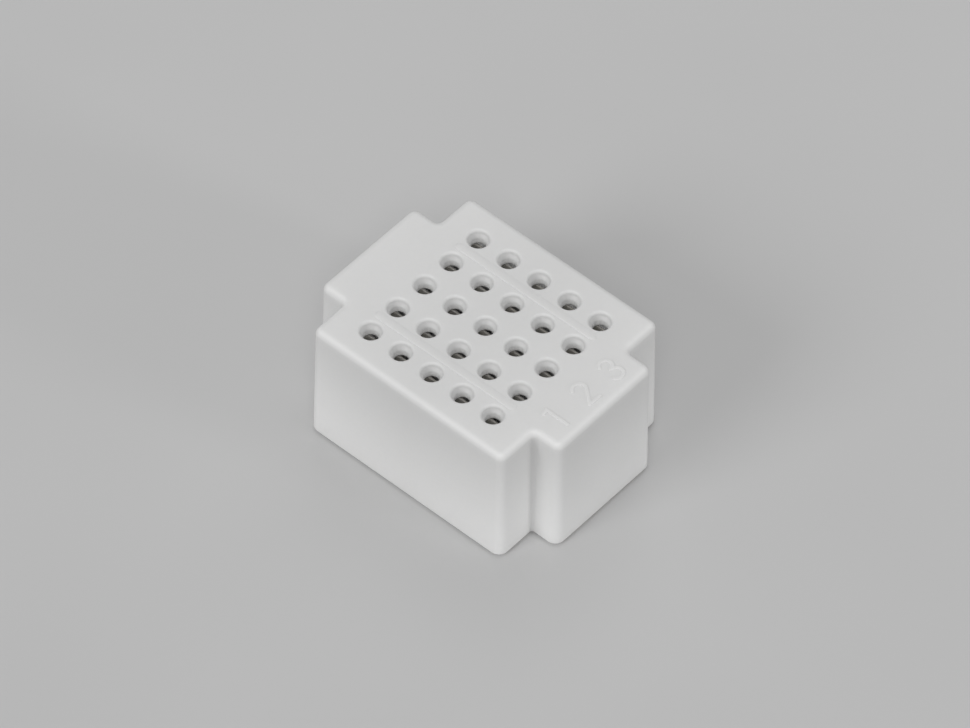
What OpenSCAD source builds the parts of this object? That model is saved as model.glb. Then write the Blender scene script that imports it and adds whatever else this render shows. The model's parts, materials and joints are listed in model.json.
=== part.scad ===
// Tiny solderless breadboard: a cross-shaped moulded housing with a square grid of tie points.
// Under each line of tie points lies a contact strip: a spine with one pair of spring fingers
// for each tie point. A foam pad with a release liner closes the underside.
// X runs along the strips, Y across them and Z up, from the middle of the underside.

/* [Grid] */
// Distance between neighbouring tie points
pitch = 2.54; // [2.5:0.02:2.6]
// Number of tie points on each contact strip
points = 5; // [2:1:5]

/* [Housing] */
// Height of the top face above the underside
top_z = 9.65; // [9.2:0.05:10.4]
// Plastic past the grid squares at each end of the main block
end_margin = 1.7; // [1.4:0.1:3]
// Plastic past the grid squares at each long side
side_margin = 1.27; // [1.1:0.01:3]
// Length of the tab on each end
tab_l = 2.05; // [1.6:0.05:3]
// Width of each tab
tab_w = 9.2; // [6:0.1:12]
// How far each wall leans inwards from bottom to top
draft = 0.15; // [0.05:0.05:0.3]
// Radius of the edge round the top face
edge_r = 0.5; // [0.2:0.05:0.5]
// Radius of the upright corners at the top
corner_r = 0.55; // [0.55:0.05:0.9]
// Width of the rim round the foam pad
rim_w = 0.7; // [0.5:0.05:0.9]
// Width of the raised divider lines
divider_w = 0.58; // [0.2:0.02:0.6]
// Height of the raised divider lines
divider_h = 0.08; // [0.04:0.01:0.1]

/* [Tie points] */
// Diameter of the straight part of each hole
hole_d = 1; // [0.8:0.05:1.1]
// Diameter of the funnel at the top face
funnel_d = 1.5; // [1.2:0.05:1.7]
// Depth of the funnel
funnel_depth = 0.6; // [0.4:0.05:0.6]
// Thickness of the roof above the cells
roof_t = 1; // [0.9:0.05:1.6]
// Width of the square cell under each hole
cell_w = 2.04; // [2:0.02:2.08]

/* [Contacts] */
// Thickness of the contact sheet
sheet_t = 0.2; // [0.16:0.01:0.22]
// Inner radius of the fold at the root of each finger
fold_r = 0.3; // [0.26:0.01:0.3]
// Width of each finger along the strip
finger_w = 1.7; // [1.2:0.1:1.8]
// Depth of the pinch below the cell's ceiling
pinch_drop = 0.8; // [0.8:0.05:2]
// Gap between the two fingers of a pair where they pinch the lead
pinch_gap = 0.1; // [0.06:0.02:0.2]
// Inner radius of the bend at the pinch
bend_r = 0.4; // [0.3:0.05:0.5]
// Length of the flared lip above the bend
lip_l = 0.55; // [0.4:0.05:0.6]
// Outward lean of the flared lip, in degrees
lip_lean = 18; // [12:1:18]

/* [Backing] */
// Thickness of the foam pad
foam_t = 0.86; // [0.8:0.01:0.87]
// Thickness of the release liner
liner_t = 0.1; // [0.06:0.01:0.1]
// How far the liner's outline stays inside the housing's outline
liner_inset = 0.35; // [0.2:0.05:0.5]

/* [Hidden] */
$fn = 64;
STRIPS = ["bus_front", "row_1", "row_2", "row_3", "bus_back"];
SIDES = ["front", "back"];
WHITE = "#ecece9";
NICKEL = "#c9c4b8";
FOAM = "#f3f1e8";
LINER = "#e3cf9a";

cut = 0.1;
play = 0.02;
// Overlap that welds the sections of a finger together.
weld = 0.01;
foam_gap = 0.1;
rim_z = 0.15;
foam_z = liner_t + play;
floor_z = foam_z + foam_t + play;
cell_top = top_z - roof_t;

body_l = points * pitch + 2 * end_margin;
body_w = len(STRIPS) * pitch + 2 * side_margin;
total_l = body_l + 2 * tab_l;
core_wall = 0.9;

spine_z = floor_z + 0.05;
fold_out_r = fold_r + sheet_t;
axis_y = cell_w / 2 - 0.04 - fold_out_r;
axis_z = spine_z + fold_out_r;
spine_w = 2 * (axis_y - 0.06);
spine_l = (points - 1) * pitch + finger_w;
channel_clear = 0.12;

// The blade is tangent to the fold's middle line and to the bend's middle line.
pinch_z = cell_top - pinch_drop;
fold_mid = fold_r + sheet_t / 2;
bend_mid = bend_r + sheet_t / 2;
bend_y = pinch_gap / 2 + sheet_t + bend_r;
centre_dy = bend_y - axis_y;
centre_dz = pinch_z - axis_z;
centre_d = norm([centre_dy, centre_dz]);
blade_lean = asin((fold_mid + bend_mid) / centre_d) - atan2(centre_dy, centre_dz);
blade_l = sqrt(centre_d * centre_d - pow(fold_mid + bend_mid, 2));

function at_centre(i, count) = (i - (count - 1) / 2) * pitch;
function finger_name(strip, i, side) = str(strip, "_finger_", i + 1, "_", side);

SPINES = [for (strip = STRIPS) str(strip, "_spine")];
FINGERS = [for (strip = STRIPS, i = [0 : points - 1], side = SIDES) finger_name(strip, i, side)];

// Outline of a wall in section: x is the distance outwards from the corner's axis.
module wall_section() {
    polygon([
        [0, rim_z],
        [corner_r + draft, rim_z],
        [corner_r, top_z - edge_r],
        [0, top_z - edge_r]
    ]);
    translate([0, top_z - 2 * edge_r]) square([corner_r - edge_r, 2 * edge_r]);
    translate([corner_r - edge_r, top_z - edge_r]) circle(r = edge_r);
}

// Half of a wall's section, clear of its own axis for turning.
module corner_post() {
    rotate_extrude() intersection() {
        wall_section();
        square([corner_r + draft, top_z]);
    }
}

// Slab whose two long sides have the wall's section, along X.
module walled_slab(l, w) {
    reach = w / 2 - corner_r - draft;
    rotate([90, 0, 90]) translate([0, 0, -l / 2]) linear_extrude(height = l) {
        translate([-reach, rim_z]) square([2 * reach, top_z - rim_z]);
        for (side = [0, 1]) mirror([side, 0]) translate([reach, 0]) wall_section();
    }
}

// Block with drafted walls, round upright corners and a rounded top edge.
module moulded_block(l, w) {
    inset = 2 * (corner_r + draft);
    walled_slab(l - inset, w);
    rotate([0, 0, 90]) walled_slab(w - inset, l);
    for (x = [-1, 1], y = [-1, 1]) {
        translate([x * (l - inset) / 2, y * (w - inset) / 2, 0]) corner_post();
    }
}

module block(l, w, z0, z1) {
    translate([-l / 2, -w / 2, z0]) cube([l, w, z1 - z0]);
}

module cross(inset, z0, z1) {
    block(body_l - 2 * inset, body_w - 2 * inset, z0, z1);
    block(total_l - 2 * inset, tab_w - 2 * inset, z0, z1);
}

// Raised line between a bus strip and its neighbour.
module divider() {
    block((points - 1) * pitch + funnel_d, divider_w, top_z - cut, top_z + divider_h);
}

module tie_point_hole() {
    translate([0, 0, cell_top - cut]) cylinder(d = hole_d, h = roof_t + 2 * cut);
    translate([0, 0, top_z - funnel_depth]) {
        cylinder(d1 = hole_d, d2 = funnel_d, h = funnel_depth);
    }
    translate([0, 0, top_z]) cylinder(d = funnel_d, h = cut);
}

module housing() {
    divider_y = at_centre(len(STRIPS) - 1, len(STRIPS)) - pitch / 2;
    core_l = tab_l + end_margin - 2 * core_wall;
    core_x = total_l / 2 - core_wall - core_l / 2;
    color(WHITE) difference() {
        union() {
            moulded_block(body_l, body_w);
            moulded_block(total_l, tab_w);
            for (y = [-divider_y, divider_y]) translate([0, y, 0]) divider();
        }
        cross(rim_w, rim_z - cut, floor_z);
        for (x = [-core_x, core_x]) translate([x, 0, 0]) {
            block(core_l, tab_w - 2 * core_wall, floor_z - cut, cell_top);
        }
        for (s = [0 : len(STRIPS) - 1]) translate([0, at_centre(s, len(STRIPS)), 0]) {
            block(spine_l + 2 * channel_clear, spine_w + 2 * channel_clear,
                floor_z - cut, spine_z + sheet_t + channel_clear);
            for (i = [0 : points - 1]) translate([at_centre(i, points), 0, 0]) {
                block(cell_w, cell_w, floor_z - cut, cell_top);
                tie_point_hole();
            }
        }
    }
}

module foam_pad() {
    color(FOAM) cross(rim_w + foam_gap, foam_z, foam_z + foam_t);
}

module release_liner() {
    color(LINER) cross(liner_inset, 0, liner_t);
}

module spine() {
    color(NICKEL) block(spine_l, spine_w, spine_z, spine_z + sheet_t);
}

// Ring sector of the sheet's thickness, from angle a0 to a1 (under 180 degrees apart).
module sheet_arc(r, a0, a1) {
    far = 4 * (r + sheet_t);
    intersection() {
        difference() {
            circle(r = r + sheet_t);
            circle(r = r);
        }
        polygon([
            [0, 0],
            far * [cos(a0), sin(a0)],
            far * [cos((a0 + a1) / 2), sin((a0 + a1) / 2)],
            far * [cos(a1), sin(a1)]
        ]);
    }
}

// Section of the finger on the +Y side: fold, blade, bend and flared lip.
module finger_section() {
    translate([axis_y, axis_z]) {
        sheet_arc(fold_r, -90, blade_lean);
        rotate(blade_lean) translate([fold_r, -weld]) square([sheet_t, blade_l + 2 * weld]);
    }
    translate([bend_y, pinch_z]) {
        sheet_arc(bend_r, 180 - lip_lean, 180 + blade_lean);
        rotate(-lip_lean) translate([-bend_r - sheet_t, -weld]) square([sheet_t, lip_l + weld]);
    }
}

module finger() {
    color(NICKEL) rotate([90, 0, 90]) translate([0, 0, -finger_w / 2]) {
        linear_extrude(height = finger_w) finger_section();
    }
}

housing();
foam_pad();
release_liner();
for (s = [0 : len(STRIPS) - 1]) translate([0, at_centre(s, len(STRIPS)), 0]) {
    spine();
    for (i = [0 : points - 1], side = SIDES) {
        union() {
            translate([at_centre(i, points), 0, 0]) mirror([0, side == "front" ? 1 : 0, 0]) finger();
        }
    }
}
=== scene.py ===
"""Looks for the tiny solderless breadboard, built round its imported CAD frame.

Meshes are modelled in millimetres, where booleans are safest, and scaled to metres when finished.
"""

import json
import math

import bmesh
import bpy
from mathutils import Matrix, Vector


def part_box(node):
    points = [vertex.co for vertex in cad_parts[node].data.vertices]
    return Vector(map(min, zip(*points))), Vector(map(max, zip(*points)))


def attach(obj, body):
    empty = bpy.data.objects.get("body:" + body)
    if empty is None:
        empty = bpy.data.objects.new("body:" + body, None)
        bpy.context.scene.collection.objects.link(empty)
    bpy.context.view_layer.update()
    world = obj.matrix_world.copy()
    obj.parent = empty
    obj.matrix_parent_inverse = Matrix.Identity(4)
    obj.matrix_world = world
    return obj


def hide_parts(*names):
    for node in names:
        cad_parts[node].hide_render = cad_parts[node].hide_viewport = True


MM = 0.001

# Housing, in millimetres, where the frame's boxes don't say.
EDGE_R = 0.52
CORNER_R = 0.7
NOTCH_R = 0.2
DRAFT = 0.15
FOOT_R = 0.06
RIM_W = 0.7
RECESS_CORNER_R = 0.3
PLAY = 0.02
CELL_W = 2.04
CELL_CORNER_R = 0.12
CORE_WALL = 0.9
CORE_CORNER_R = 0.3
CHANNEL_CLEAR = 0.12
CHANNEL_CORNER_R = 0.05
FUNNEL_R = 0.71
RIM_FILLET_R = 0.22
# How far a cutter reaches past the face it opens, and how much its rim climbs in a millimetre.
OVERCUT = 0.3
RIM_CLIMB = 0.03

# Painted light and shade: greys that multiply the plastic's colour, as (height in millimetres, grey)
# stops. The walls are painted darker towards the top and lighter towards the bottom, with a painted
# highlight round the top edge. The cells are painted light, and the funnels over them painted darker.
# Raised lines carry a painted highlight that makes them paler than the top face.
PAINTED_TOP_LIGHT = ((9.645, 0.9), (9.68, 0.9), (9.71, 0.935), (10, 0.935))
PAINTED_WALL_SHADE = (
    (0, 1.02), (4.5, 0.905), (8.8, 0.785), (9.2, 0.8), (9.45, 0.89), (9.58, 0.98), *PAINTED_TOP_LIGHT
)
PAINTED_CELL_SHADE = ((0, 1.06), (8.65, 1.06), (8.95, 1.0), (9.1, 0.82), (9.4, 0.78), *PAINTED_TOP_LIGHT)

# Raised relief on the top face, in millimetres. The slant is a share of the divider's height, and
# the numerals' place is counted in pitches from the last column of tie points.
DIVIDER_W = 0.58
DIVIDER_H = 0.08
DIVIDER_SLANT = 0.75
DIVIDER_OVERHANG = 0.45
NUMERAL_W = 0.24
NUMERAL_H = 0.065
NUMERAL_SIZE = (1.22, 1.98)
NUMERAL_PLACE = 1.22

# Contacts, in millimetres and degrees. The shares are of the full width of a finger or a spine.
SHEET_T = 0.2
BEND_R = 0.4
LIP_L = 0.55
LIP_LEAN = 18
PINCH_GAP = 0.1
COINED_EDGE = 0.03
TIP_R = 0.4
ROOT_L = 0.5
ROOT_SHARE = 0.86
WAIST_SHARE = 0.7

# Corners of the foam and the liner, in millimetres.
FOAM_CORNER_R = 0.25
FOAM_NOTCH_R = 0.15
LINER_CORNER_R = 0.5
LINER_NOTCH_R = 0.2

# The photograph's view: a long lens from the front right, looking well down. Angles are in degrees,
# the lens in millimetres, and the distance and the aim in metres.
CAMERA_AZIMUTH = 40.53
CAMERA_ELEVATION = 50.18
CAMERA_ROLL = 1.08
CAMERA_DISTANCE = 0.5126
CAMERA_LENS = 305.4
CAMERA_AIM = (0.00203, -0.00237)

# Soft suns: name, azimuth, elevation and width in degrees, and strength.
SUNS = (
    ("key", -12, 30, 25, 0.84),
    ("side", 102, 12, 12, 0.45),
    ("rim", 200, 50, 50, 0.34),
    ("front", 40, 50, 20, 0.55),
)
ROOM_STRENGTH = 0.38
BACKDROP_STRENGTH = 0.46


# --- Mesh helpers -------------------------------------------------------------------------------


def add_object(name, bm):
    """Links a new mesh object made from bm."""
    bmesh.ops.recalc_face_normals(bm, faces=bm.faces)
    mesh = bpy.data.meshes.new(name)
    bm.to_mesh(mesh)
    bm.free()
    obj = bpy.data.objects.new(name, mesh)
    bpy.context.scene.collection.objects.link(obj)
    return obj


def add_loft(bm, rings):
    """Skins closed rings of equal length into one capped solid."""
    loops = [[bm.verts.new(point) for point in ring] for ring in rings]
    count = len(loops[0])
    for low, high in zip(loops, loops[1:]):
        for i in range(count):
            j = (i + 1) % count
            bm.faces.new((low[i], low[j], high[j], high[i]))
    bm.faces.new(loops[0][::-1])
    bm.faces.new(loops[-1])


def loft_object(name, *ring_lists):
    """One object with a capped solid for each list of rings."""
    bm = bmesh.new()
    for rings in ring_lists:
        add_loft(bm, rings)
    return add_object(name, bm)


def lift(outline, z):
    """The outline's points at one height."""
    return [Vector((x, y, z)) for x, y in outline]


def smooth(t):
    """A share that leaves nought and reaches one gently."""
    return t * t * (3 - 2 * t)


def arc(centre, rx, ry, start, end, steps):
    """Points on an ellipse from the start angle to the end angle, in degrees."""
    points = []
    for i in range(steps + 1):
        a = math.radians(start + (end - start) * i / steps)
        points.append((centre[0] + rx * math.cos(a), centre[1] + ry * math.sin(a)))
    return points


def rounded_corner(before, corner, after, radius, steps):
    """Points of the arc that rounds one corner of an open polyline."""
    corner = Vector(corner)
    to_before = (Vector(before) - corner).normalized()
    to_after = (Vector(after) - corner).normalized()
    half = to_before.angle(to_after) / 2
    centre = corner + (to_before + to_after).normalized() * radius / math.sin(half)
    first = corner + to_before * radius / math.tan(half) - centre
    last = corner + to_after * radius / math.tan(half) - centre
    sweep = first.angle(last)
    points = []
    for i in range(steps + 1):
        t = i / steps
        weight_first = math.sin((1 - t) * sweep) / math.sin(sweep)
        weight_last = math.sin(t * sweep) / math.sin(sweep)
        points.append(tuple(centre + first * weight_first + last * weight_last))
    return points


def rounded_box(centre, size, radius, z0, z1, steps=4):
    """Rings of an upright box with round upright corners."""
    outline = []
    for k, (sx, sy) in enumerate(((1, 1), (-1, 1), (-1, -1), (1, -1))):
        corner = (centre[0] + sx * (size[0] / 2 - radius), centre[1] + sy * (size[1] / 2 - radius))
        outline += arc(corner, radius, radius, 90 * k, 90 * (k + 1), steps)
    return [lift(outline, z0), lift(outline, z1)]


def lathe(centre, profile, steps=48):
    """Rings of a solid turned about an upright axis, from (radius, z) points."""
    rings = []
    for r, z in profile:
        circle = arc(centre, r, r, 0, 360, steps)[:-1]
        rings.append(lift(circle, z))
    return rings


def cross_outline(plan, inset, corner_r, notch_r, steps=8):
    """The plus-shaped outline, moved inwards by inset, with the radii it has at no inset."""
    full_x, body_x, full_y, tab_y = plan
    convex = corner_r - inset
    concave = notch_r + inset
    quadrant = arc((full_x - corner_r, tab_y - corner_r), convex, convex, 0, 90, steps)
    quadrant += arc((body_x + notch_r, tab_y + notch_r), concave, concave, 270, 180, steps)
    quadrant += arc((body_x - corner_r, full_y - corner_r), convex, convex, 0, 90, steps)
    outline = list(quadrant)
    outline += [(-x, y) for x, y in reversed(quadrant)]
    outline += [(-x, -y) for x, y in quadrant]
    outline += [(x, -y) for x, y in reversed(quadrant)]
    return outline


def apply_modifiers(obj):
    """Replaces the object's mesh with what its modifiers make of it."""
    depsgraph = bpy.context.evaluated_depsgraph_get()
    mesh = bpy.data.meshes.new_from_object(obj.evaluated_get(depsgraph))
    old = obj.data
    obj.modifiers.clear()
    obj.data = mesh
    mesh.name = obj.name
    bpy.data.meshes.remove(old)


def combine(obj, tool, operation):
    """Joins the tool to the object, or cuts it away, and removes the tool."""
    modifier = obj.modifiers.new("combine", "BOOLEAN")
    modifier.operation = operation
    modifier.solver = "EXACT"
    modifier.object = tool
    apply_modifiers(obj)
    bpy.data.objects.remove(tool)


def finish_piece(obj, body, material, sharp_angle=35):
    """Scales a piece to metres, shades it smooth between its sharp edges and hands it to its body."""
    obj.data.transform(Matrix.Scale(MM, 4))
    obj.data.shade_smooth()
    obj.data.set_sharp_from_angle(angle=math.radians(sharp_angle))
    normals = obj.modifiers.new("weighted_normals", "WEIGHTED_NORMAL")
    normals.keep_sharp = True
    normals.weight = 100
    apply_modifiers(obj)
    obj.data.materials.clear()
    obj.data.materials.append(material)
    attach(obj, body)
    return obj


# --- What the frame says ------------------------------------------------------------------------


def plan_of(node):
    """Half sizes of a plus-shaped node, in millimetres: full x, body x, full y and tab y."""
    points = [v.co / MM for v in frame["nodes"][node].data.vertices]
    full_x = max(p.x for p in points)
    full_y = max(p.y for p in points)
    body_x = max(p.x for p in points if p.y > 0.8 * full_y)
    tab_y = max(p.y for p in points if p.x > (full_x + body_x) / 2)
    return full_x, body_x, full_y, tab_y


def z_range(node):
    """The lowest and highest point of a node, in millimetres."""
    low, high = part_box(node)
    return low.z / MM, high.z / MM


def tie_points():
    """The tie point mounts: a list of (centre, hole radius, top and bottom of the straight wall)."""
    found = []
    for mount in frame["record"]["mounts"]:
        if mount["kind"] == "bore":
            x, y, z = (value / MM for value in mount["pos_m"])
            half = mount["dims"]["length_mm"] / 2
            found.append(((x, y), mount["dims"]["r_mm"], z + half, z - half))
    return found


# --- Housing ------------------------------------------------------------------------------------


def housing_shell(plan, rim_z, top_z):
    """The drafted, round-edged outside, still solid."""
    foot = arc((FOOT_R, rim_z + FOOT_R), FOOT_R, FOOT_R, 270, 180, 3)
    edge = arc((DRAFT + EDGE_R, top_z - EDGE_R), EDGE_R, EDGE_R, 180, 90, 10)
    rings = [lift(cross_outline(plan, inset, CORNER_R, NOTCH_R), z) for inset, z in foot + edge]
    return loft_object("housing_moulding", rings)


def hole_profile(hole_r, wall_top, wall_bottom, top_z):
    """(radius, z) points of a hole with a bowl-shaped funnel, a little past the faces it cuts."""
    bowl_top = top_z - RIM_FILLET_R
    steps = 14
    profile = [(hole_r, wall_bottom - OVERCUT)]
    for k in range(steps + 1):
        t = k / steps
        r = hole_r + (FUNNEL_R - hole_r) * smooth(t)
        profile.append((r, wall_top + t * (bowl_top - wall_top)))
    outside = (FUNNEL_R + 1, top_z + RIM_CLIMB)
    rim = rounded_corner(profile[-1], (FUNNEL_R, top_z), outside, RIM_FILLET_R, 8)
    return profile[:-1] + rim + [(rim[-1][0], top_z + OVERCUT)]


def stroke(name, path, width, height, z, slant=0.0):
    """A raised line with round shoulders and ends, sunk a little into the face.

    Its top is flat, or falls by the slant's share of the height towards the path's left.
    """
    half = width / 2
    sink = 0.12
    squareness = 0.5
    count = 17
    points = [Vector(p) for p in path]
    stations = []
    first_way = (points[1] - points[0]).normalized()
    last_way = (points[-1] - points[-2]).normalized()
    angles = [math.radians(a) for a in (80, 60, 40, 20)]
    for a in angles:
        stations.append((points[0] - first_way * half * math.sin(a), first_way, math.cos(a)))
    for i, point in enumerate(points):
        way = points[min(i + 1, len(points) - 1)] - points[max(i - 1, 0)]
        stations.append((point, way.normalized(), 1.0))
    for a in reversed(angles):
        stations.append((points[-1] + last_way * half * math.sin(a), last_way, math.cos(a)))
    rings = []
    for point, way, share in stations:
        side = Vector((-way.y, way.x))
        ring = []
        for k in range(count):
            a = math.pi * k / (count - 1)
            out = math.copysign(abs(math.cos(a)) ** squareness, math.cos(a))
            up = max(math.sin(a), 0) ** squareness * (1 - slant * (1 + out) / 2)
            flat = point + side * half * share * out
            ring.append(Vector((flat.x, flat.y, z + height * share**squareness * up)))
        for sign in (-1, 1):
            flat = point + side * half * share * sign
            ring.append(Vector((flat.x, flat.y, z - sink)))
        rings.append(ring)
    return loft_object(name, rings)


def numeral_paths():
    """The strokes of 1, 2 and 3 in a box of one unit each way, centred on the origin."""
    bowl = 0.24
    one = [[(-0.46, 0.44), (-0.06, 0.5)], [(-0.06, 0.5), (-0.06, -0.5)]]
    two_bowl = arc((0, 0.5 - bowl), 0.5, bowl, 155, -35, 16)
    two = [two_bowl + [(-0.5, -0.5)], [(-0.5, -0.5), (0.5, -0.5)]]
    three = [
        arc((0, 0.26), 0.46, 0.24, 155, -90, 16),
        arc((0, -0.24), 0.5, 0.26, 90, -155, 16),
    ]
    return [one, two, three]


def numerals(rows, centre_x, z):
    """The row numbers on the tab, read from the tab's end, each one a single solid."""
    span_u = NUMERAL_SIZE[0] - NUMERAL_W
    span_v = NUMERAL_SIZE[1] - NUMERAL_W
    solids = []
    for y, strokes in zip(rows, numeral_paths()):
        placed = [[(centre_x - v * span_v, y + u * span_u) for u, v in path] for path in strokes]
        solid, *others = [stroke("numeral", path, NUMERAL_W, NUMERAL_H, z) for path in placed]
        for other in others:
            combine(solid, other, "UNION")
        solids.append(solid)
    return solids


def build_housing():
    """The moulding with everything that is cut from it, and the relief on its top face."""
    plan = plan_of("housing")
    rim_z, highest = z_range("housing")
    top_z = highest - DIVIDER_H
    floor_z = z_range("foam_pad")[1] + PLAY
    points = tie_points()
    cell_top = points[0][3]
    rows = sorted({centre[1] for centre, *_ in points})
    columns = sorted({centre[0] for centre, *_ in points})
    pitch = columns[1] - columns[0]

    housing = housing_shell(plan, rim_z, top_z)
    recess_plan = [half - RIM_W for half in plan]
    outline = cross_outline(recess_plan, 0, RECESS_CORNER_R, RECESS_CORNER_R)
    recess = loft_object("recess", [lift(outline, rim_z - OVERCUT), lift(outline, floor_z)])
    combine(housing, recess, "DIFFERENCE")

    below = floor_z - OVERCUT
    spine_low, spine_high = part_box("row_2_spine")
    channel = (
        (spine_high.x - spine_low.x) / MM + 2 * CHANNEL_CLEAR,
        (spine_high.y - spine_low.y) / MM + 2 * CHANNEL_CLEAR,
    )
    channel_top = spine_high.z / MM + CHANNEL_CLEAR
    channels = [
        rounded_box((0, y), channel, CHANNEL_CORNER_R, below, channel_top) for y in rows
    ]
    combine(housing, loft_object("channels", *channels), "DIFFERENCE")

    core_out = plan[0] - CORE_WALL
    core_in = columns[-1] + pitch / 2 + CORE_WALL
    core_x = (core_in + core_out) / 2
    core = (core_out - core_in, 2 * (plan[3] - CORE_WALL))
    cores = [
        rounded_box((x, 0), core, CORE_CORNER_R, below, cell_top) for x in (-core_x, core_x)
    ]
    cells = [
        rounded_box(centre, (CELL_W, CELL_W), CELL_CORNER_R, below, cell_top)
        for centre, *_ in points
    ]
    combine(housing, loft_object("cells", *cores, *cells), "DIFFERENCE")

    holes = [
        lathe(centre, hole_profile(hole_r, wall_top, wall_bottom, top_z))
        for centre, hole_r, wall_top, wall_bottom in points
    ]
    combine(housing, loft_object("holes", *holes), "DIFFERENCE")

    relief = []
    for y in ((rows[0] + rows[1]) / 2, (rows[-2] + rows[-1]) / 2):
        ends = [(columns[0] - DIVIDER_OVERHANG, y), (columns[-1] + DIVIDER_OVERHANG, y)]
        relief.append(stroke("divider", ends, DIVIDER_W, DIVIDER_H, top_z, DIVIDER_SLANT))
    relief += numerals(rows[1:4], columns[-1] + NUMERAL_PLACE * pitch, top_z)
    for solid in relief:
        combine(housing, solid, "UNION")

    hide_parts("housing")
    plastic = plastic_material(columns[-1] + CELL_W / 2, top_z, cell_top)
    return finish_piece(housing, "housing_body", plastic)


# --- Contacts -----------------------------------------------------------------------------------


def nearest_row(y):
    """The row of tie points that is nearest to y."""
    return min((centre[1] for centre, *_ in tie_points()), key=lambda row: abs(row - y))


def finger_path(node):
    """Where a finger's strip is, and the finger's middle line in millimetres.

    The line's points are (outwards, up), from the strip's middle and the height of the table.
    """
    low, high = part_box(node)
    joint = next(j for j in frame["joints"] if j["child"] == node)
    strip_y = nearest_row(joint["pos_m"][1] / MM)
    axis = Vector((abs(joint["pos_m"][1] / MM - strip_y), joint["pos_m"][2] / MM))
    fold_mid = axis.y - low.z / MM - SHEET_T / 2
    bend_mid = BEND_R + SHEET_T / 2
    lean = math.radians(LIP_LEAN)
    lip_rise = (BEND_R + SHEET_T) * math.sin(lean) + LIP_L * math.cos(lean)
    bend = Vector((PINCH_GAP / 2 + SHEET_T + BEND_R, high.z / MM - lip_rise))
    across = bend - axis
    blade_lean = math.asin((fold_mid + bend_mid) / across.length) - math.atan2(across.x, across.y)
    turn = math.degrees(blade_lean)
    fold_arc = arc(axis, fold_mid, fold_mid, -90, turn, 16)
    bend_arc = arc(bend, bend_mid, bend_mid, 180 + turn, 180 - LIP_LEAN, 8)
    start, end, lip_root = Vector(fold_arc[-1]), Vector(bend_arc[0]), Vector(bend_arc[-1])
    blade = [tuple(start.lerp(end, k / 10)) for k in range(1, 10)]
    lip_way = Vector((math.sin(lean), math.cos(lean)))
    lip = [tuple(lip_root + lip_way * LIP_L * k / 6) for k in range(1, 7)]
    return strip_y, fold_arc + blade + bend_arc + lip


def sheet_object(name, stations, half_width, columns=8):
    """A strip of sheet metal along stations, which are (point, across) pairs, with coined edges."""
    bm = bmesh.new()
    lengths = [0.0]
    for (a, _), (b, _) in zip(stations, stations[1:]):
        lengths.append(lengths[-1] + (b - a).length)
    grid = []
    for (point, across), length in zip(stations, lengths):
        half = half_width(length, lengths[-1])
        row = []
        for k in range(columns + 1):
            row.append(bm.verts.new(point + across * half * (2 * k / columns - 1)))
        grid.append(row)
    for low, high in zip(grid, grid[1:]):
        for k in range(columns):
            bm.faces.new((low[k], low[k + 1], high[k + 1], high[k]))
    obj = add_object(name, bm)
    solid = obj.modifiers.new("thickness", "SOLIDIFY")
    solid.thickness = SHEET_T
    solid.offset = 0
    solid.use_even_offset = True
    edges = obj.modifiers.new("coined_edges", "BEVEL")
    edges.width = COINED_EDGE
    edges.segments = 2
    edges.limit_method = "ANGLE"
    edges.angle_limit = math.radians(50)
    apply_modifiers(obj)
    return obj


def finger_half_width(width):
    """Half width along a finger: a narrower root, full blade and round lip."""
    half = width / 2
    tip_fill = 0.98

    def at(length, total):
        left = total - length
        if left < TIP_R:
            return half - TIP_R + math.sqrt(max(TIP_R**2 - (TIP_R - left) ** 2, 0)) * tip_fill
        root = min(length / ROOT_L, 1)
        return half * (ROOT_SHARE + (1 - ROOT_SHARE) * smooth(root))

    return at


def build_finger(node, material):
    """One spring finger, bent from its strip towards the lead."""
    low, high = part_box(node)
    side = 1 if node.endswith("back") else -1
    strip_y, path = finger_path(node)
    middle_x = (low.x + high.x) / 2 / MM
    across = Vector((1, 0, 0))
    stations = [(Vector((middle_x, strip_y + side * y, z)), across) for y, z in path]
    finger = sheet_object(node + "_spring", stations, finger_half_width((high.x - low.x) / MM))
    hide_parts(node)
    return finish_piece(finger, node, material, sharp_angle=50)


def build_spine(node, material):
    """The strip's flat base, waisted between the pairs of fingers."""
    low, high = (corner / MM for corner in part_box(node))
    middle_y, middle_z = (low.y + high.y) / 2, (low.z + high.z) / 2
    full = (high.y - low.y) / 2
    columns = sorted({centre[0] for centre, *_ in tie_points()})
    pitch = columns[1] - columns[0]
    steps = 120
    clip_half = 0.85
    waist_flat = 0.1
    waist_run = pitch / 2 - clip_half - waist_flat

    def half_width(length, _):
        x = low.x + length
        from_clip = min(abs(x - column) for column in columns)
        waist = max(0.0, min(1.0, (from_clip - clip_half) / waist_run))
        return full * (1 - (1 - WAIST_SHARE) * smooth(waist))

    across = Vector((0, 1, 0))
    stations = []
    for k in range(steps + 1):
        x = low.x + (high.x - low.x) * k / steps
        stations.append((Vector((x, middle_y, middle_z)), across))
    spine = sheet_object(node + "_strip", stations, half_width, columns=4)
    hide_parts(node)
    return finish_piece(spine, "housing_body", material, sharp_angle=50)


# --- Foam and liner -----------------------------------------------------------------------------


def build_foam(material):
    """Die-cut foam whose sides belly out a little between the two adhesive faces."""
    plan = plan_of("foam_pad")
    low, high = z_range("foam_pad")
    belly = 0.05
    steps = 8
    rings = []
    for k in range(steps + 1):
        t = k / steps
        inset = belly * (1 - math.sin(math.pi * t))
        outline = cross_outline(plan, inset, FOAM_CORNER_R, FOAM_NOTCH_R)
        rings.append(lift(outline, low + (high - low) * t))
    foam = loft_object("foam_tape", rings)
    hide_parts("foam_pad")
    return finish_piece(foam, "housing_body", material)


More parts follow.
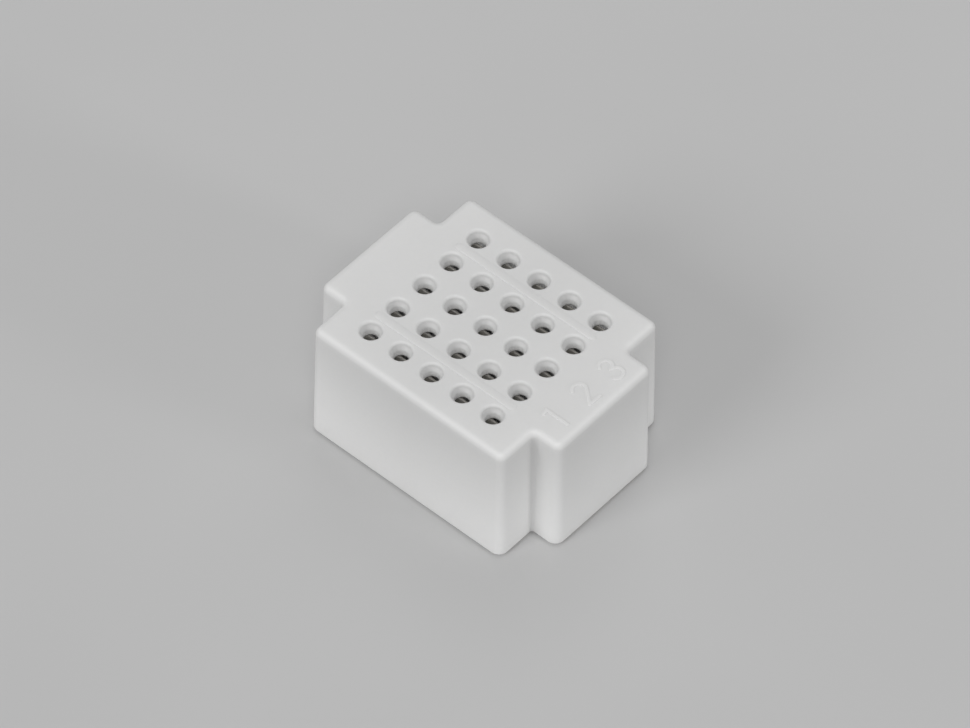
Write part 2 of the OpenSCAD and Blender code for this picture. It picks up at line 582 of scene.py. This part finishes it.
def build_liner(material):
    """Release paper with round corners and a rolled-over cut edge."""
    plan = plan_of("release_liner")
    low, high = z_range("release_liner")
    soft = 0.03
    sections = ((soft, low), (0, low + soft), (0, high - soft), (soft, high))
    rings = [
        lift(cross_outline(plan, inset, LINER_CORNER_R, LINER_NOTCH_R), z) for inset, z in sections
    ]
    liner = loft_object("release_paper", rings)
    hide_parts("release_liner")
    return finish_piece(liner, "liner", material, sharp_angle=60)


# --- Materials ----------------------------------------------------------------------------------


class Shader:
    """A Principled material with short names for the nodes that vary it."""

    def __init__(self, name, **inputs):
        self.material = bpy.data.materials.new(name)
        self.material.use_nodes = True
        self.tree = self.material.node_tree
        self.principled = self.tree.nodes["Principled BSDF"]
        self.place = self.tree.nodes.new("ShaderNodeTexCoord").outputs["Object"]
        for key, value in inputs.items():
            self.principled.inputs[key.replace("_", " ")].default_value = value

    def link(self, source, socket):
        """Feeds a socket from another node's output."""
        self.tree.links.new(source, socket)

    def stretched(self, x, y, z):
        """Object coordinates with each axis scaled."""
        node = self.tree.nodes.new("ShaderNodeMapping")
        node.inputs["Scale"].default_value = (x, y, z)
        self.link(self.place, node.inputs["Vector"])
        return node.outputs["Vector"]

    def noise(self, grain, detail=2.0, vector=None):
        """Noise whose grain is about this many millimetres."""
        node = self.tree.nodes.new("ShaderNodeTexNoise")
        node.inputs["Scale"].default_value = 1 / (grain * MM)
        node.inputs["Detail"].default_value = detail
        self.link(vector or self.place, node.inputs["Vector"])
        return node.outputs["Fac"]

    def cells(self, size):
        """Voronoi cells of about this many millimetres."""
        node = self.tree.nodes.new("ShaderNodeTexVoronoi")
        node.inputs["Scale"].default_value = 1 / (size * MM)
        self.link(self.place, node.inputs["Vector"])
        return node.outputs["Distance"]

    def spread(self, source, low, high, start=0.3, end=0.7):
        """Maps start to end of the source onto low to high."""
        node = self.tree.nodes.new("ShaderNodeMapRange")
        for key, value in zip(("From Min", "From Max", "To Min", "To Max"), (start, end, low, high)):
            node.inputs[key].default_value = value
        self.link(source, node.inputs["Value"])
        return node.outputs["Result"]

    def mix(self, share, first, second):
        """Blends two colours, each an RGB tuple or a socket."""
        node = self.tree.nodes.new("ShaderNodeMix")
        node.data_type = "RGBA"
        self.link(share, node.inputs["Factor"])
        for socket, colour in ((node.inputs[6], first), (node.inputs[7], second)):
            if isinstance(colour, tuple):
                socket.default_value = (*colour, 1)
            else:
                self.link(colour, socket)
        return node.outputs[2]

    def axes(self):
        """The x, y and z sockets of the object's coordinates."""
        parts = self.tree.nodes.new("ShaderNodeSeparateXYZ")
        self.link(self.place, parts.inputs[0])
        return parts.outputs

    def calculate(self, operation, *terms):
        """A maths node fed with sockets or numbers."""
        node = self.tree.nodes.new("ShaderNodeMath")
        node.operation = operation
        for socket, term in zip(node.inputs, terms):
            if isinstance(term, (int, float)):
                socket.default_value = term
            else:
                self.link(term, socket)
        return node.outputs[0]

    def within(self, half, top):
        """One inside an upright square block round the middle, in millimetres, and nought outside."""
        x, y, z = self.axes()
        reach = self.calculate("MAXIMUM", self.calculate("ABSOLUTE", x), self.calculate("ABSOLUTE", y))
        around = self.calculate("LESS_THAN", reach, half * MM)
        return self.calculate("MULTIPLY", around, self.calculate("LESS_THAN", z, top * MM))

    def tone_by_height(self, colour, tones):
        """Multiplies a colour by a grey that changes with height, from (millimetres, grey) stops."""
        top = tones[-1][0]
        ramp = self.tree.nodes.new("ShaderNodeValToRGB")
        self.link(self.spread(self.axes()[2], 0, 1, 0, top * MM), ramp.inputs["Fac"])
        elements = ramp.color_ramp.elements
        for k, (height, grey) in enumerate(tones):
            element = elements[k] if k < 1 else elements.new(height / top)
            element.position = height / top
            element.color = (grey, grey, grey, 1)
        elements.remove(elements[-1])
        return self.darken(colour, ramp.outputs["Color"])

    def darken(self, colour, grey):
        """Multiplies a colour by a grey."""
        node = self.tree.nodes.new("ShaderNodeMix")
        node.data_type = "RGBA"
        node.blend_type = "MULTIPLY"
        node.inputs["Factor"].default_value = 1
        self.link(colour, node.inputs[6])
        self.link(grey, node.inputs[7])
        return node.outputs[2]

    def bump(self, height, depth, under=None):
        """A bump of this many millimetres, on top of another one."""
        node = self.tree.nodes.new("ShaderNodeBump")
        node.inputs["Distance"].default_value = depth * MM
        self.link(height, node.inputs["Height"])
        if under:
            self.link(under, node.inputs["Normal"])
        return node.outputs["Normal"]

    def drive(self, key, source):
        """Feeds one of the Principled shader's inputs."""
        self.link(source, self.principled.inputs[key])


def plastic_material(cells_half, top_z, cell_top):
    """White satin ABS: faint mould texture, slow flow marks and light that scatters under the surface,
    with painted light and shade over its colour: lighter towards either end and changing with height.

    Inside the square that holds all the cells, more light comes through, and the colour there has its
    own painted light and shade. Its half width, the top face's height and the cells' top are in
    millimetres.
    """
    margin = 0.2
    half = cells_half + margin
    shader = Shader("moulded_abs", IOR=1.53)
    shader.principled.inputs["Subsurface Radius"].default_value = (1, 1, 1)
    flow = shader.noise(6, 3, shader.stretched(0.35, 1, 1))
    speckle = shader.noise(0.25, 4)
    tint = shader.mix(shader.spread(flow, 0, 1), (0.905, 0.905, 0.90), (0.925, 0.925, 0.92))
    tint = shader.mix(shader.spread(speckle, 0, 0.25), tint, (0.875, 0.875, 0.87))
    # Painted light: the outside is painted darker towards the middle and lighter towards the tabs at either end.
    from_middle = shader.calculate("ABSOLUTE", shader.axes()[0])
    painted_outside = shader.darken(tint, shader.spread(from_middle, 0.95, 1.01, 0, 9 * MM))
    # Painted light and shade by height: outside, walls darker towards the top with a painted highlight on the top
    # edge and relief; inside, cells painted lighter and funnels darker.
    painted_outside = shader.tone_by_height(painted_outside, PAINTED_WALL_SHADE)
    painted_cells = shader.tone_by_height(tint, PAINTED_CELL_SHADE)
    below_top = shader.within(half, top_z - 0.01)
    shader.drive("Base Color", shader.mix(below_top, painted_outside, painted_cells))
    in_cells = shader.within(half, cell_top + 0.05)
    shader.drive("Subsurface Weight", shader.spread(in_cells, 0.25, 1, 0, 1))
    shader.drive("Subsurface Scale", shader.spread(in_cells, 2 * MM, 3.5 * MM, 0, 1))
    shader.drive("Roughness", shader.spread(speckle, 0.40, 0.52))
    waves = shader.bump(shader.noise(1.6, 1), 0.010)
    shader.drive("Normal", shader.bump(shader.noise(0.07, 2), 0.0022, waves))
    return shader.material


def metal_material():
    """Nickel over rolled bronze: fine streaks along the blade and a faint warm bloom."""
    shader = Shader("nickel_plate", Metallic=0.6)
    streaks = shader.noise(0.05, 3, shader.stretched(1, 1, 0.08))
    bloom = shader.noise(0.8, 3)
    plated = shader.mix(shader.spread(streaks, 0, 1), (0.46, 0.45, 0.43), (0.54, 0.53, 0.50))
    shader.drive("Base Color", shader.mix(shader.spread(bloom, 0, 0.4), plated, (0.42, 0.38, 0.32)))
    shader.drive("Roughness", shader.spread(streaks, 0.4, 0.55))
    shader.drive("Normal", shader.bump(streaks, 0.0015))
    return shader.material


def foam_material():
    """White closed-cell foam tape."""
    shader = Shader("foam_tape", Roughness=0.85, Subsurface_Weight=0.2, Subsurface_Scale=0.4 * MM)
    cell = shader.cells(0.14)
    wall = shader.spread(cell, 0, 1, 0.1, 0.6)
    shader.drive("Base Color", shader.mix(wall, (0.88, 0.86, 0.80), (0.70, 0.68, 0.62)))
    shader.drive("Normal", shader.bump(cell, 0.03, shader.bump(shader.noise(0.5), 0.02)))
    return shader.material


def liner_material():
    """Waxed release paper: cream fibres under a smooth coat."""
    shader = Shader("waxed_paper", Coat_Weight=0.4, Coat_Roughness=0.25)
    fibres = shader.noise(0.12, 5, shader.stretched(0.3, 1, 1))
    cloud = shader.noise(2.5, 3)
    paper = shader.mix(shader.spread(fibres, 0, 1), (0.80, 0.70, 0.47), (0.66, 0.55, 0.34))
    shader.drive("Base Color", shader.mix(shader.spread(cloud, 0, 0.35), paper, (0.86, 0.78, 0.58)))
    shader.drive("Roughness", shader.spread(fibres, 0.45, 0.62))
    shader.drive("Normal", shader.bump(fibres, 0.008, shader.bump(cloud, 0.015)))
    return shader.material


def floor_material():
    """Plain pale paper with a slow, faint cloud."""
    shader = Shader("studio_floor", Roughness=0.35)
    cloud = shader.spread(shader.noise(30, 2), 0, 1)
    shader.drive("Base Color", shader.mix(cloud, (0.60, 0.60, 0.60), (0.62, 0.62, 0.62)))
    return shader.material


# --- Studio -------------------------------------------------------------------------------------


def view_axes(azimuth, elevation):
    """Forward and right of a view, where azimuth 0 looks along +Y."""
    a, e = math.radians(azimuth), math.radians(elevation)
    forward = Vector((-math.sin(a) * math.cos(e), math.cos(a) * math.cos(e), -math.sin(e)))
    return forward, Vector((math.cos(a), math.sin(a), 0))


def add_camera(top_z):
    """The photograph's camera, aimed at a point of the top face."""
    forward, level = view_axes(CAMERA_AZIMUTH, CAMERA_ELEVATION)
    roll = math.radians(CAMERA_ROLL)
    right = level * math.cos(roll) + level.cross(forward) * math.sin(roll)
    up = right.cross(forward)
    data = bpy.data.cameras.new("camera")
    data.lens = CAMERA_LENS
    data.clip_start = 0.01
    data.clip_end = 10
    camera = bpy.data.objects.new("camera", data)
    turn = Matrix((right, up, -forward)).transposed().to_4x4()
    aim = Vector((*CAMERA_AIM, top_z))
    camera.matrix_world = Matrix.Translation(aim - forward * CAMERA_DISTANCE) @ turn
    bpy.context.scene.collection.objects.link(camera)
    bpy.context.scene.camera = camera


def add_soft_sun(name, azimuth, elevation, spread, strength):
    """Even light from one side of the studio, as from a softbox this many degrees wide."""
    forward, _ = view_axes(azimuth, elevation)
    data = bpy.data.lights.new(name, "SUN")
    data.energy = strength
    data.angle = math.radians(spread)
    light = bpy.data.objects.new(name, data)
    light.rotation_euler = forward.to_track_quat("-Z", "Y").to_euler()
    bpy.context.scene.collection.objects.link(light)


def add_room(strength, backdrop):
    """A plain white room, which the camera sees in the floor's own tone."""
    world = bpy.data.worlds.new("studio")
    world.use_nodes = True
    tree = world.node_tree
    background = tree.nodes["Background"]
    background.inputs["Color"].default_value = (1, 1, 1, 1)
    seen = tree.nodes.new("ShaderNodeLightPath").outputs["Is Camera Ray"]
    level = tree.nodes.new("ShaderNodeMapRange")
    level.inputs["To Min"].default_value = strength
    level.inputs["To Max"].default_value = backdrop
    tree.links.new(seen, level.inputs["Value"])
    tree.links.new(level.outputs["Result"], background.inputs["Strength"])
    bpy.context.scene.world = world


def add_studio():
    """Floor, lights and room."""
    bm = bmesh.new()
    bmesh.ops.create_grid(bm, x_segments=8, y_segments=8, size=3)
    floor = add_object("floor", bm)
    floor.data.materials.append(floor_material())
    for sun in SUNS:
        add_soft_sun(*sun)
    add_room(ROOM_STRENGTH, BACKDROP_STRENGTH)
    bpy.context.scene.view_settings.view_transform = "Standard"


# --- The whole object ---------------------------------------------------------------------------

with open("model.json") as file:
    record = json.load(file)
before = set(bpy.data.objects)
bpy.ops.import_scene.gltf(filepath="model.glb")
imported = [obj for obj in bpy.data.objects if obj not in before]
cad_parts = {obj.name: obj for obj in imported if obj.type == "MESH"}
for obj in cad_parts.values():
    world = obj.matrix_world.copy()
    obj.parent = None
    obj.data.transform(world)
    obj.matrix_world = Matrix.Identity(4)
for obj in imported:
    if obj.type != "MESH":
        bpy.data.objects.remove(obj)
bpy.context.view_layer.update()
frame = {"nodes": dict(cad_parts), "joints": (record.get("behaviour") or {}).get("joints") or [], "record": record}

build_housing()
metal = metal_material()
for node_name in sorted(frame["nodes"]):
    if node_name.endswith("_spine"):
        build_spine(node_name, metal)
    elif "_finger_" in node_name:
        build_finger(node_name, metal)
build_foam(foam_material())
build_liner(liner_material())
add_studio()
add_camera(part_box("housing")[1].z - DIVIDER_H * MM)
